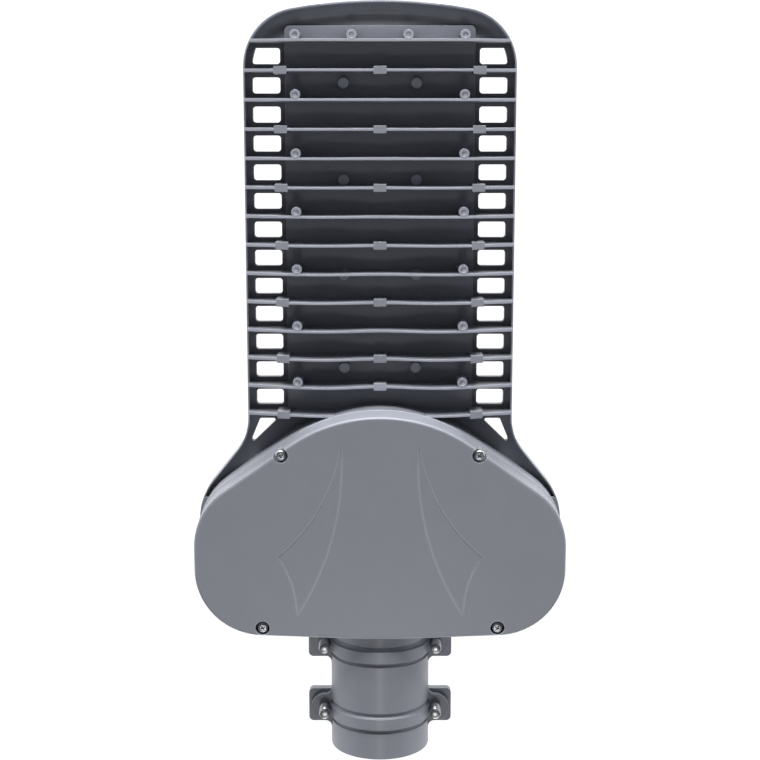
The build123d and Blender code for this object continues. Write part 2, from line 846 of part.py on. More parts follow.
def tabbed_box(place, bottom_z, size, tab, tab_thickness, corner):
    """Housing with a screw tab at each end, drawn on its underside."""
    width, length, height = size
    with BuildPart() as box:
        with BuildSketch(Plane.XY.offset(bottom_z)):
            with Locations(place):
                RectangleRounded(width, length, corner)
        extrude(amount=height)
        fillet(box.faces().sort_by(Axis.Z)[-1].edges(), corner / 2)
        with BuildSketch(Plane.XY.offset(bottom_z)):
            with Locations(place):
                Rectangle(width + 2 * tab, 2 * mount_tab)
            with Locations(*side_pair(place, width / 2 + tab / 2)):
                Circle(mount_screw_radius + pass_clearance, mode=Mode.SUBTRACT)
        extrude(amount=tab_thickness)
    return box


led_driver = tabbed_box(
    (0, driver_y), driver_bottom_z, driver_size, driver_tab, driver_tab_thickness, driver_corner
)
surge_protector = tabbed_box(
    (0, surge_y), surge_bottom_z, surge_size, mount_tab, surge_tab_thickness, surge_corner
)
terminal_block = tabbed_box(
    terminal_place,
    terminal_bottom_z,
    terminal_size,
    mount_tab,
    terminal_tab_thickness,
    terminal_corner,
)

# Terminal block: its ways stand between low walls, with a wire entry each end of a way
terminal_top_z = terminal_bottom_z + terminal_size[2]
terminal_pitch = terminal_size[0] / terminal_ways
with BuildPart() as terminal_body:
    add(terminal_block.part)
    with Locations((terminal_place[0], terminal_place[1], terminal_top_z)):
        with GridLocations(terminal_pitch, 1, terminal_ways, 1):
            Cylinder(
                terminal_screw_radius + pass_clearance,
                terminal_recess,
                align=(Align.CENTER, Align.CENTER, Align.MAX),
                mode=Mode.SUBTRACT,
            )
    with BuildSketch(Plane.XZ.offset(-terminal_place[1])):
        with Locations((terminal_place[0], terminal_bottom_z + terminal_size[2] / 2)):
            with GridLocations(terminal_pitch, 1, terminal_ways, 1):
                Circle(terminal_entry_radius)
    extrude(amount=terminal_size[1], both=True, mode=Mode.SUBTRACT)

with BuildPart() as terminal_clamp_screws:
    with Locations((terminal_place[0], terminal_place[1], terminal_top_z - terminal_recess)):
        with GridLocations(terminal_pitch, 1, terminal_ways, 1):
            Cylinder(
                terminal_screw_radius,
                terminal_recess / 2,
                align=(Align.CENTER, Align.CENTER, Align.MIN),
            )

# Cord clip: a flat bar with an arch over the cord's place
with BuildPart() as cable_clip:
    with BuildSketch(Plane.XZ.offset(-(clip_place[1] - clip_size[1] / 2))):
        with Locations((clip_place[0], clip_bottom_z)):
            Rectangle(clip_size[0], clip_size[2], align=(Align.CENTER, Align.MIN))
            Circle(clip_arch_radius + clip_arch_wall)
            Circle(clip_arch_radius, mode=Mode.SUBTRACT)
            Rectangle(
                clip_size[0],
                clip_size[0],
                align=(Align.CENTER, Align.MAX),
                mode=Mode.SUBTRACT,
            )
    extrude(amount=-clip_size[1])
    with Locations(*[(x, y, clip_bottom_z) for x, y in side_pair(clip_place, clip_screws_x)]):
        Hole(mount_screw_radius + pass_clearance)

# Gland through the socket's end wall: its cap is in the tub, its nut in the recess on the pole's side
gland_thread_end_y = socket_depth + pass_clearance
gland_cap_y = gland_seat_y + gland_hex_length
with BuildPart() as cable_gland:
    with BuildSketch(Plane.XZ.offset(-gland_seat_y)):
        with Locations((0, gland_z)):
            RegularPolygon(gland_half_flat, 6, major_radius=False)
    extrude(amount=-gland_hex_length)
    with BuildSketch(Plane.XZ.offset(-gland_cap_y)):
        with Locations((0, gland_z)):
            Circle(gland_half_flat - face_clearance)
    extrude(amount=-gland_cap_length)
    fillet(cable_gland.faces().sort_by(Axis.Y)[-1].edges(), gland_cap_round)
    with BuildSketch(Plane.XZ.offset(-gland_thread_end_y)):
        with Locations((0, gland_z)):
            Circle(gland_radius)
    extrude(amount=gland_thread_end_y - gland_seat_y)
    with BuildSketch(Plane.XZ.offset(-gland_seat_y)):
        with Locations((0, gland_z)):
            Circle(gland_cable_radius)
    extrude(amount=2 * (gland_hex_length + gland_cap_length), both=True, mode=Mode.SUBTRACT)

with BuildPart() as gland_nut:
    with BuildSketch(Plane.XZ.offset(-gland_nut_seat_y)):
        with Locations((0, gland_z)):
            RegularPolygon(gland_half_flat, 6, major_radius=False)
            Circle(gland_radius + thread_clearance, mode=Mode.SUBTRACT)
    extrude(amount=gland_nut_length)

mount_seats = [
    ("driver_screws", driver_bottom_z + driver_tab_thickness, mounts[0][1]),
    ("surge_screws", surge_bottom_z + surge_tab_thickness, mounts[1][1]),
    ("terminal_screws", terminal_bottom_z + terminal_tab_thickness, mounts[2][1]),
    ("clip_screws", clip_bottom_z + clip_size[2], mounts[3][1]),
]


def mount_screws(seat_z, places):
    """The pair of screws that holds one of the parts in the tub."""
    with BuildPart() as pair:
        with from_above(places, seat_z):
            screw(mount_screw_radius, mount_screw_length, mount_head_radius, mount_head_height)
    return pair


pieces = {
    "body_casting": body_casting,
    "driver_cover": driver_cover,
    "cover_gasket": cover_gasket,
    "cover_screws": cover_screws,
    "clamp_saddle_front": clamp_saddle_front,
    "clamp_saddle_rear": clamp_saddle_rear,
    "clamp_bolts": clamp_bolts,
    "clamp_washers": clamp_washers,
    "board_screws": board_screws,
    "lens_panel": lens_panel,
    "lens_gasket": lens_gasket,
    "lens_screws": lens_screws,
    "led_driver": led_driver,
    "surge_protector": surge_protector,
    "terminal_block": terminal_body,
    "terminal_clamp_screws": terminal_clamp_screws,
    "cable_clip": cable_clip,
    "cable_gland": cable_gland,
    "gland_nut": gland_nut,
}
for number, (board, chips) in enumerate(zip(boards, emitters), start=1):
    pieces[f"led_board_{number}"] = board
    pieces[f"led_chips_{number}"] = chips
for name, seat_z, places in mount_seats:
    pieces[name] = mount_screws(seat_z, places)

for name, piece in pieces.items():
    piece.part.label = name
    export_step(piece.part, f"parts/{name}.step")
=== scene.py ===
# %% [markdown]
# # An LED street light head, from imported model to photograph
# The head is one big aluminium casting with cooling fins, a driver tub under a bell-shaped
# cover, a socket for the pole and two clamps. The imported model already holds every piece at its
# real size, so this lesson only dresses it: first the camera and the light, then one finish for
# each material, then the small pieces that need a finer shape than the model gives them.

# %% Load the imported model
from math import cos, pi, radians, sin

import bmesh
import bpy
from mathutils import Matrix, Vector


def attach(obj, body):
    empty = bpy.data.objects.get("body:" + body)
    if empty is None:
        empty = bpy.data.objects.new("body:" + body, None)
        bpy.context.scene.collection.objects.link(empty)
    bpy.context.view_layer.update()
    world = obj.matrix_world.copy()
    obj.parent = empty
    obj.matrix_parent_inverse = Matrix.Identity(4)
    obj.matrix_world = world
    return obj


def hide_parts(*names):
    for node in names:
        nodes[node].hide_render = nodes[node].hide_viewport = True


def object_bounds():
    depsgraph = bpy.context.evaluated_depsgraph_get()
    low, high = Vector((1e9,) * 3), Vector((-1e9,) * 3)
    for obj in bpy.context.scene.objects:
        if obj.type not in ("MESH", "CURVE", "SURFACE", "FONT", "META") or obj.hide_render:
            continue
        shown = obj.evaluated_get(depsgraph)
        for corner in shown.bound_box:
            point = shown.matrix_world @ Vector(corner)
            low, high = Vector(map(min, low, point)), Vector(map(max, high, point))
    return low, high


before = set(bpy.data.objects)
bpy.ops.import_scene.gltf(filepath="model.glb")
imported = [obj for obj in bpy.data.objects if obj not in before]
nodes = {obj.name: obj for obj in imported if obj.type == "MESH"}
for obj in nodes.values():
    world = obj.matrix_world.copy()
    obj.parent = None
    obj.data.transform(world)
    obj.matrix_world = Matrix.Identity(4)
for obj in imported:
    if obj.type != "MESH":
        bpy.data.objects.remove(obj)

mm = 0.001
cad_low, cad_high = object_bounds()
print("nodes:", len(nodes), "size in mm:", [round(x / mm, 1) for x in cad_high - cad_low])

# %% [markdown]
# ## Camera
# The photograph was taken almost straight down, from above the fins, with a slight lean towards
# the pole: the nose ends show their tub side and the fins near the tub show their nose side. A
# 72 mm lens on a 36 mm sensor has the same narrow view. Depth of field stays off, because
# the whole head is sharp.

# %% The camera
camera_place = Vector((0.0, 0.4574, 1.0667))
camera_lean = radians(9.9)

eye = bpy.data.cameras.new("eye")
eye.lens = 72.0
eye.sensor_width = 36.0
eye.clip_start = 0.05
eye.clip_end = 80.0
eye_stand = bpy.data.objects.new("eye_stand", eye)
eye_stand.location = camera_place
eye_stand.rotation_euler = (-camera_lean, 0.0, 0.0)
bpy.context.scene.collection.objects.link(eye_stand)
bpy.context.scene.camera = eye_stand
print("camera height above the cover:", round(camera_place.z - cad_high.z, 3), "m")

# %% [markdown]
# ## Light
# One long, low softbox far beyond the nose does most of the work. Light that low skims the cover,
# strikes the fins' edges and the cover's front wall, and leaves the bays between the fins in
# shade, which is what makes the fins read as thin bright lines. A weaker softbox behind the pole
# opens the shadow that the tub throws on the socket. A small one hangs where the camera would see
# it in a mirror lying on the clamps, so the flat ends of the bolts and the screw heads light up.

# %% Softboxes
head_middle = (cad_low + cad_high) / 2


def softbox(name, place, width, height, watts):
    """A rectangular area light aimed at the middle of the head."""
    lamp = bpy.data.lights.new(name, "AREA")
    lamp.shape = "RECTANGLE"
    lamp.size = width
    lamp.size_y = height
    lamp.energy = watts
    stand = bpy.data.objects.new(name, lamp)
    stand.location = place
    aim = head_middle - Vector(place)
    stand.rotation_euler = aim.to_track_quat("-Z", "Y").to_euler()
    bpy.context.scene.collection.objects.link(stand)
    print(name, "at", round(aim.length, 2), "m")


softbox("nose_softbox", (0.0, 6.3, 1.75), width=3.6, height=2.4, watts=405.0)
softbox("pole_softbox", (0.5, -4.6, 2.5), width=3.6, height=2.2, watts=42.0)
softbox("mirror_softbox", (0.0, -1.0, 2.75), width=0.6, height=0.4, watts=4.6)

# %% [markdown]
# ## Sky
# The sky is a soft gradient, pale at the horizon and dim overhead. It fills the sides of the fins
# and the walls without flattening the top. A colour ramp reads how high a direction points.

# %% Sky gradient
sky = bpy.data.worlds.new("sky")
sky.use_nodes = True
bpy.context.scene.world = sky
sky_nodes, sky_links = sky.node_tree.nodes, sky.node_tree.links
sky_direction = sky_nodes.new("ShaderNodeTexCoord")
sky_height = sky_nodes.new("ShaderNodeSeparateXYZ")
sky_ramp = sky_nodes.new("ShaderNodeValToRGB")
horizon, overhead = sky_ramp.color_ramp.elements
horizon.position = 0.20
horizon.color = (0.88, 0.90, 0.94, 1.0)
overhead.position = 0.55
overhead.color = (0.03, 0.031, 0.033, 1.0)
sky_links.new(sky_direction.outputs["Generated"], sky_height.inputs["Vector"])
sky_links.new(sky_height.outputs["Z"], sky_ramp.inputs["Fac"])
sky_links.new(sky_ramp.outputs["Color"], sky_nodes["Background"].inputs["Color"])
bpy.context.scene.view_settings.view_transform = "Standard"
print("sky: pale up to", horizon.position, "dim from", overhead.position)

# %% [markdown]
# ## Floor
# The head stands on no feet: a pole holds it. So the floor lies far below it, which also leaves
# room to look up at the underside. It is pale and a little luminous, like the lit paper sweep
# under a product photograph.

# %% The floor
floor_drop = 1.6
floor_reach = 25.0
floor_glow = 0.62
floor_mesh = bmesh.new()
bmesh.ops.create_grid(floor_mesh, x_segments=2, y_segments=2, size=floor_reach)
bmesh.ops.translate(floor_mesh, verts=floor_mesh.verts, vec=(0, 0, cad_low.z - floor_drop))
floor = bpy.data.objects.new("floor", bpy.data.meshes.new("floor"))
floor_mesh.to_mesh(floor.data)
floor_mesh.free()
bpy.context.scene.collection.objects.link(floor)

paper = bpy.data.materials.new("pale_paper")
paper.use_nodes = True
paper_shader = paper.node_tree.nodes["Principled BSDF"]
paper_shader.inputs["Base Color"].default_value = (0.86, 0.86, 0.86, 1.0)
paper_shader.inputs["Roughness"].default_value = 0.9
paper_shader.inputs["Emission Color"].default_value = (1.0, 1.0, 1.0, 1.0)
paper_shader.inputs["Emission Strength"].default_value = floor_glow
floor.data.materials.append(paper)
print("floor height:", round(cad_low.z - floor_drop, 3), "m")

# %% [markdown]
# ## Building blocks for the finishes
# Every finish is a small graph of shader nodes. Four blocks keep those graphs short: a value
# carried from one range to another, a sum, a soft noise and a rounded normal. The noise reads
# Object coordinates, so its grain has a size in metres and stays on the piece.

# %% Node blocks


def stretch(tree, source, low, high, new_low, new_high):
    """Carry a value from one range to another."""
    spread = tree.nodes.new("ShaderNodeMapRange")
    ranges = {"From Min": low, "From Max": high, "To Min": new_low, "To Max": new_high}
    for name, value in ranges.items():
        spread.inputs[name].default_value = value
    tree.links.new(source, spread.inputs["Value"])
    return spread.outputs["Result"]


def calculate(tree, operation, *values):
    """A sum whose values are sockets to link or plain numbers."""
    maths = tree.nodes.new("ShaderNodeMath")
    maths.operation = operation
    for socket, value in zip(maths.inputs, values):
        if isinstance(value, float):
            socket.default_value = value
        else:
            tree.links.new(value, socket)
    return maths.outputs["Value"]


def speckle(tree, scale, detail):
    """Soft noise with a number of blotches to the metre."""
    place = tree.nodes.new("ShaderNodeTexCoord")
    clouds = tree.nodes.new("ShaderNodeTexNoise")
    clouds.inputs["Scale"].default_value = scale
    clouds.inputs["Detail"].default_value = detail
    tree.links.new(place.outputs["Object"], clouds.inputs["Vector"])
    return clouds.outputs["Fac"]


def rounded_normal(tree, radius):
    """The normal that the surface would have with its edges rounded, radius in millimetres."""
    round_edge = tree.nodes.new("ShaderNodeBevel")
    round_edge.samples = 6
    round_edge.inputs["Radius"].default_value = radius * mm
    return round_edge.outputs["Normal"]


# %% [markdown]
# ## One recipe for every finish
# No real surface has one flat colour. Each finish here mixes two close colours with a soft
# noise, lets the same noise change the gloss, and adds a fine grain as bump. A Bevel node rounds
# the look of every edge by a fraction of a millimetre, because a cast or painted edge is never
# sharp.

# %% The recipe
clear_coat_roughness = 0.22
grain_strength = 0.6


def finish(
    name, dark, light, roughness, mottle=60.0, grain=900.0, depth=0.02,
    edge=0.0, metal=0.0, coat=0.0,
):
    """A material with mottled colour and gloss, fine grain and softened edges."""
    material = bpy.data.materials.new(name)
    material.use_nodes = True
    tree = material.node_tree
    shader = tree.nodes["Principled BSDF"]
    shader.inputs["Metallic"].default_value = metal
    shader.inputs["Coat Weight"].default_value = coat
    shader.inputs["Coat Roughness"].default_value = clear_coat_roughness
    clouds = speckle(tree, mottle, 4.0)
    colours = tree.nodes.new("ShaderNodeValToRGB")
    colours.name = "colours"
    for element, place, colour in zip(colours.color_ramp.elements, (0.3, 0.7), (dark, light)):
        element.position = place
        element.color = (*colour, 1.0)
    tree.links.new(clouds, colours.inputs["Fac"])
    tree.links.new(colours.outputs["Color"], shader.inputs["Base Color"])
    tree.links.new(stretch(tree, clouds, 0.3, 0.7, *roughness), shader.inputs["Roughness"])
    bump = tree.nodes.new("ShaderNodeBump")
    bump.inputs["Strength"].default_value = grain_strength
    bump.inputs["Distance"].default_value = depth * mm
    tree.links.new(speckle(tree, grain, 3.0), bump.inputs["Height"])
    if edge:
        tree.links.new(rounded_normal(tree, edge), bump.inputs["Normal"])
    tree.links.new(bump.outputs["Normal"], shader.inputs["Normal"])
    return material


def dress(material, *names):
    """Give CAD nodes a finish in place of their plain one."""
    for name in names:
        nodes[name].data.materials.clear()
        nodes[name].data.materials.append(material)
    print(material.name, "on", len(names), "nodes")


# %% [markdown]
# ## Painted edge highlights and painted corner shade
# Where the rounded normal leans away from the flat one there is an edge, and a painted highlight
# makes the finish a little paler there. An Ambient Occlusion node finds the deep corners, and
# painted shade makes the finish a little darker there. Both only change how bright the colour is,
# so one Hue and Saturation node carries them, and later masks join in there.

# %% Painted edge highlights and corner shade


def paint_edge_highlight_and_corner_shade(material, edge_highlight, edge_highlight_reach, corner_shade, corner_shade_reach, edge_highlight_range=(0.99, 0.80)):
    """Painted highlights on the edges and painted shade in the corners of a finish, reach in
    millimetres.
    """
    tree = material.node_tree
    flat = tree.nodes.new("ShaderNodeNewGeometry")
    lean = tree.nodes.new("ShaderNodeVectorMath")
    lean.operation = "DOT_PRODUCT"
    tree.links.new(flat.outputs["Normal"], lean.inputs[0])
    tree.links.new(rounded_normal(tree, edge_highlight_reach), lean.inputs[1])
    # painted highlight: the colour is paler where the rounded normal leans away at an edge
    edge_highlight_factor = stretch(tree, lean.outputs["Value"], *edge_highlight_range, 1.0, 1.0 + edge_highlight)
    # painted shade: the colour is darker in the corners that the Ambient Occlusion node finds
    corners = tree.nodes.new("ShaderNodeAmbientOcclusion")
    corners.name = "corners"
    corners.samples = 6
    corners.only_local = True
    corners.inputs["Distance"].default_value = corner_shade_reach * mm
    corner_shade_factor = stretch(tree, corners.outputs["AO"], 0.3, 0.95, 1.0 - corner_shade, 1.0)
    toned = tree.nodes.new("ShaderNodeHueSaturation")
    toned.name = "toned"
    tree.links.new(tree.nodes["colours"].outputs["Color"], toned.inputs["Color"])
    tree.links.new(calculate(tree, "MULTIPLY", edge_highlight_factor, corner_shade_factor), toned.inputs["Value"])
    tree.links.new(toned.outputs["Color"], tree.nodes["Principled BSDF"].inputs["Base Color"])


# %% [markdown]
# ## Powder coat
# All the castings wear the same satin grey powder coat. Sprayed powder melts into a skin with
# a faint orange peel, about a millimetre from crest to crest, so the grain is that size. The
# cover is smoother and its painted edge highlight spreads over a wider strip, so it gets a
# version of its own. Both carry painted highlights on their edges and painted shade in corners.

# %% Castings
satin_grey = (0.365, 0.38, 0.43), (0.385, 0.40, 0.45), (0.40, 0.50)
powder_coat = finish("powder_coat", *satin_grey, depth=0.015, edge=0.6, coat=0.2)
# painted highlights on the edges, painted shade in the bays, troughs and corners
paint_edge_highlight_and_corner_shade(powder_coat, edge_highlight=0.7, edge_highlight_reach=0.6, corner_shade=0.34, corner_shade_reach=30.0)
dress(powder_coat, "body_casting", "clamp_saddle_front", "clamp_saddle_rear")
cover_coat = finish("cover_coat", *satin_grey, depth=0.015, edge=0.25, coat=0.2)
# painted highlights on the cover's edges, painted shade in its corners
paint_edge_highlight_and_corner_shade(cover_coat, edge_highlight=0.3, edge_highlight_reach=1.6, corner_shade=0.28, corner_shade_reach=22.0, edge_highlight_range=(0.9995, 0.985))
dress(cover_coat, "driver_cover")

# %% [markdown]
# ## Masks
# On some places of the castings light or shade is painted into the coat, so they are paler or
# darker than the rest. Each is picked out by masks that only read the normal and Object coordinates:
# how much the surface looks up, and how far across, along and up the head it is. A mask is a curve
# through a few points, and where several masks meet their product says how strongly the painted
# light or shade changes the coat.

# %% Mask helpers


def ramp(tree, source, points):
    """A float curve through (input, output) points, read from a socket."""
    low, high = points[0][0], points[-1][0]
    steps = tree.nodes.new("ShaderNodeValToRGB")
    elements = steps.color_ramp.elements
    for number, (place, level) in enumerate(points):
        position = (place - low) / (high - low)
        if number in (0, len(points) - 1):
            element = elements[0 if number == 0 else -1]
            element.position = position
        else:
            element = elements.new(position)
        element.color = (level, level, level, 1.0)
    tree.links.new(stretch(tree, source, low, high, 0.0, 1.0), steps.inputs["Fac"])
    return steps.outputs["Color"]


def paint_light_and_shade(material, masks, gain):
    """Paint light into a finish, or shade for a negative gain, where all the masks meet."""
    tree = material.node_tree
    mask = masks[0]
    for other in masks[1:]:
        mask = calculate(tree, "MULTIPLY", mask, other)
    change = calculate(tree, "MULTIPLY_ADD", mask, gain, 1.0)
    value = tree.nodes["toned"].inputs["Value"]
    tree.links.new(calculate(tree, "MULTIPLY", value.links[0].from_socket, change), value)


def look_and_place(material):
    """The normal's Z, then how far across, along and up the head the spot is, as sockets."""
    tree = material.node_tree
    surface = tree.nodes.new("ShaderNodeNewGeometry")
    looks = tree.nodes.new("ShaderNodeSeparateXYZ")
    tree.links.new(surface.outputs["Normal"], looks.inputs["Vector"])
    place = tree.nodes.new("ShaderNodeTexCoord")
    spot = tree.nodes.new("ShaderNodeSeparateXYZ")
    tree.links.new(place.outputs["Object"], spot.inputs["Vector"])
    across = calculate(tree, "ABSOLUTE", spot.outputs["X"])
    return tree, looks.outputs["Z"], across, spot.outputs["Y"], spot.outputs["Z"]


def from_row(tree, along, first_row, spacing):
    """Distance along the head to the nearest of many evenly spaced rows."""
    shifted = calculate(tree, "SUBTRACT", along, first_row)
    return calculate(tree, "PINGPONG", shifted, spacing / 2)


def from_spot(tree, across, along, spot):
    """Distance on the flat from a spot to the point that two sockets give."""
    on_face = tree.nodes.new("ShaderNodeCombineXYZ")
    tree.links.new(across, on_face.inputs["X"])
    tree.links.new(along, on_face.inputs["Y"])
    away = tree.nodes.new("ShaderNodeVectorMath")
    away.operation = "DISTANCE"
    away.inputs[1].default_value = (*spot, 0.0)
    tree.links.new(on_face.outputs["Vector"], away.inputs[0])
    return away.outputs["Value"]


# %% [markdown]
# ## Crests of the fins
# The crests of the fins get a painted highlight, so the coat is painted paler there. A crest is a
# face that looks up, high above the web, in the part of the casting that has fins.

# %% Crests
tree, up, across, along, height = look_and_place(powder_coat)
looks_up = ramp(tree, up, [(0.5, 0.0), (0.9, 1.0)])
has_fins = ramp(tree, along, [(0.235, 0.0), (0.240, 1.0)])
on_crest = ramp(tree, height, [(-0.0095, 0.0), (-0.0085, 0.35), (0.0, 0.8), (0.012, 1.0)])
# painted highlight on the crests of the fins
paint_light_and_shade(powder_coat, [looks_up, has_fins, on_crest], 0.75)
print("coat steps after the crests:", len(tree.nodes))

# %% [markdown]
# ## Posts and bosses
# The posts on every second fin and the rims of the screw bosses stand as high as the crests, and
# they get less of the painted crest highlight. They repeat every second fin, and a Math node that
# folds the length like a paper fan finds the nearest row. The dimples in the bosses and the short
# bosses of the LED boards lie deep in shade, and painted light lifts them a little.

# %% Posts and bosses
row_spacing = 0.040
post_row, boss_row, boss_across = 0.4875, 0.511, 0.058
behind_first_fin = ramp(tree, along, [(0.498, 1.0), (0.500, 0.0)])
post_rows = ramp(tree, from_row(tree, along, post_row, row_spacing), [(0.0027, 1.0), (0.0030, 0.0)])
middle_post = (0.0, 1.0), (0.0044, 1.0), (0.0047, 0.0)
side_post = (0.0636, 0.0), (0.0639, 1.0), (0.0727, 1.0), (0.0730, 0.0)
post_columns = ramp(tree, across, [*middle_post, *side_post])
# less of the painted highlight on the tops of the posts
paint_light_and_shade(powder_coat, [looks_up, has_fins, behind_first_fin, post_rows, post_columns], -0.28)
boss_length = from_row(tree, along, boss_row, row_spacing)
from_boss = from_spot(tree, across, boss_length, (boss_across, 0.0))
boss_ring = ramp(tree, from_boss, [(0.0019, 0.0), (0.0021, 1.0), (0.0035, 1.0), (0.0037, 0.0)])
# less of the painted highlight on the rims of the screw bosses
paint_light_and_shade(powder_coat, [looks_up, has_fins, behind_first_fin, boss_ring], -0.20)
near_middle = ramp(tree, across, [(0.040, 1.0), (0.042, 0.0)])
short_boss = ramp(tree, height, [(-0.0043, 0.0), (-0.0041, 1.0), (-0.0039, 1.0), (-0.0037, 0.0)])
# painted light on the tops of the short bosses
paint_light_and_shade(powder_coat, [looks_up, has_fins, near_middle, short_boss], 0.5)
boss_dimple = ramp(tree, from_boss, [(0.0, 1.0), (0.0018, 1.0), (0.0019, 0.0)])
# painted light in the dimples of the bosses
paint_light_and_shade(powder_coat, [looks_up, has_fins, boss_dimple], 0.5)
print("rows of posts and bosses every", round(row_spacing / mm), "mm")

# %% [markdown]
# ## Painted shade in the nose
# The trough between the nose rim and the plate gets painted shade, darker the nearer the rim, which
# the Ambient Occlusion node of the coat already measures. The flat plate gets painted light again.

# %% Nose and plate
enclosed = ramp(tree, tree.nodes["corners"].outputs["AO"], [(0.50, 1.0), (0.95, 0.0)])
at_nose = ramp(tree, along, [(0.500, 0.0), (0.515, 1.0)])
below_rim = ramp(tree, height, [(-0.0055, 1.0), (-0.0045, 0.0)])
# painted shade in the nose trough, darkest next to the rim
paint_light_and_shade(powder_coat, [enclosed, at_nose, below_rim], -0.55)
flat = ramp(tree, up, [(0.995, 0.0), (0.999, 1.0)])
plate_height = ramp(tree, height, [(-0.0084, 0.0), (-0.0082, 1.0), (-0.0078, 1.0), (-0.0076, 0.0)])
# painted light on the flat plate
paint_light_and_shade(powder_coat, [flat, plate_height, at_nose], 0.85)
print("coat steps after the nose:", len(tree.nodes))

# %% [markdown]
# ## The cover's edge and wall
# The rounded edge of the cover is the one place on it where the surface neither looks up nor
# sideways. It gets a painted highlight, palest at the front and back. The wall below it gets
# painted light at the front, where the light strikes it, and painted shade at the sides.

# %% Cover edge and wall
tree, up, across, along, height = look_and_place(cover_coat)
rounded = ramp(tree, up, [(0.25, 0.0), (0.45, 1.0), (0.90, 1.0), (0.985, 0.0)])
near_top = ramp(tree, height, [(0.034, 0.0), (0.037, 1.0)])
edge_in_front = ramp(tree, along, [(0.215, 0.0), (0.242, 0.3), (0.251, 1.0)])
# painted highlight on the cover's rounded front edge
paint_light_and_shade(cover_coat, [rounded, near_top, edge_in_front], 0.35)
wall = ramp(tree, up, [(0.30, 1.0), (0.50, 0.0)])
wall_in_front = ramp(tree, along, [(0.232, 0.0), (0.252, 1.0)])
# painted light on the front of the cover's wall
paint_light_and_shade(cover_coat, [wall, wall_in_front], 0.28)
not_flat = ramp(tree, up, [(0.90, 1.0), (0.985, 0.0)])
wall_aside = ramp(tree, along, [(0.165, 0.0), (0.185, 1.0), (0.225, 1.0), (0.242, 0.0)])
# painted shade on the sides of the cover's wall
paint_light_and_shade(cover_coat, [not_flat, wall_aside], -0.22)
at_back = ramp(tree, along, [(0.098, 1.0), (0.102, 0.0)])
# painted highlight on the cover's rounded back edge
paint_light_and_shade(cover_coat, [not_flat, near_top, at_back], 0.35)
print("cover coat steps:", len(tree.nodes))

# %% [markdown]
# ## The reliefs on the cover
# Two shallow curved reliefs mirror each other on the cover. Their steps are only a quarter of a
# millimetre, and a painted highlight draws a pale line along them. Every edge is an arc, so a
# distance from the arc's centre draws that line, and masks on length and width end it.

# %% Relief lines


def circle_through(first, middle, last):
    """Centre and radius of the circle through three points."""
    (ax, ay), (bx, by), (cx, cy) = first, middle, last
    turn = 2 * (ax * (by - cy) + bx * (cy - ay) + cx * (ay - by))
    a, b, c = ax**2 + ay**2, bx**2 + by**2, cx**2 + cy**2
    x = (a * (by - cy) + b * (cy - ay) + c * (ay - by)) / turn
    y = (a * (cx - bx) + b * (ax - cx) + c * (bx - ax)) / turn
    return x, y, ((ax - x) ** 2 + (ay - y) ** 2) ** 0.5


relief_arcs = [
    ((27.0, 230.7), (41.5, 188.5), (71.4, 152.5)),
    ((58.4, 109.7), (61.9, 133.0), (71.4, 152.5)),
    ((58.4, 109.7), (34.3, 163.6), (27.0, 230.7)),
]
line_profile = (-1.2, 0.0), (-0.5, 1.0), (0.5, 1.0), (1.2, 0.0)
top_face = ramp(tree, height, [(0.0400, 0.0), (0.0405, 1.0)])
for arc in relief_arcs:
    centre_x, centre_y, radius = circle_through(*arc)
    away = from_spot(tree, across, along, (centre_x * mm, centre_y * mm))
    line = ramp(tree, away, [((radius + offset) * mm, level) for offset, level in line_profile])
    low_y, high_y = min(y for _, y in arc), max(y for _, y in arc)
    reach = (low_y - 1, 0.0), (low_y + 4, 1.0), (high_y - 12, 1.0), (high_y, 0.0)
    ends = ramp(tree, along, [(place * mm, level) for place, level in reach])
    low_x, high_x = min(x for x, _ in arc) - 2, max(x for x, _ in arc) + 2
    reach = (low_x - 1, 0.0), (low_x, 1.0), (high_x, 1.0), (high_x + 1, 0.0)
    sides = ramp(tree, across, [(place * mm, level) for place, level in reach])
    # painted highlight along the relief's edge
    paint_light_and_shade(cover_coat, [line, ends, sides, top_face], 0.16)
    print("relief arc radius in mm:", round(radius, 1))

# %% [markdown]
# ## Steel
# The fasteners are bright zinc, a metal with small roughness. The clamp bolts stand in the weather
# and are galvanised: painted shade darkens their threads, and a painted highlight brightens their
# flat ends.

# %% Zinc and galvanised steel
metal_grain = dict(mottle=300.0, grain=2500.0, depth=0.004, edge=0.2, metal=1.0)
zinc = finish("bright_zinc", (0.66, 0.67, 0.70), (0.82, 0.83, 0.85), (0.26, 0.40), **metal_grain)
dress(
    zinc, "cover_screws", "clamp_bolts", "clamp_washers", "board_screws", "lens_screws",
    "driver_screws", "surge_screws", "terminal_screws", "terminal_clamp_screws", "clip_screws",
)
metal_grain.update(mottle=400.0, depth=0.006)
bolt_zinc = (0.66, 0.67, 0.69), (0.84, 0.85, 0.86), (0.26, 0.34)
galvanised = finish("galvanised", *bolt_zinc, **metal_grain)
# painted highlights on the bolts' edges, painted shade in their threads
paint_edge_highlight_and_corner_shade(galvanised, edge_highlight=0.2, edge_highlight_reach=0.4, corner_shade=0.7, corner_shade_reach=2.0)
tree, up, *_ = look_and_place(galvanised)
# painted highlight on the flat ends of the bolts
paint_light_and_shade(galvanised, [ramp(tree, up, [(0.90, 0.0), (0.99, 1.0)])], 0.15)
# painted shade on the threads and sides of the bolts
paint_light_and_shade(galvanised, [ramp(tree, up, [(0.50, 1.0), (0.90, 0.0)])], -0.5)
print("galvanised steps:", len(tree.nodes))

# %% [markdown]
# ## Rubber, nylon and the driver's case
# The seals are black silicone and quite matt. The gland, its nut, the clip and the surge protector
# are black nylon, the terminal block is cream nylon, and the driver sits in a drawn aluminium case.

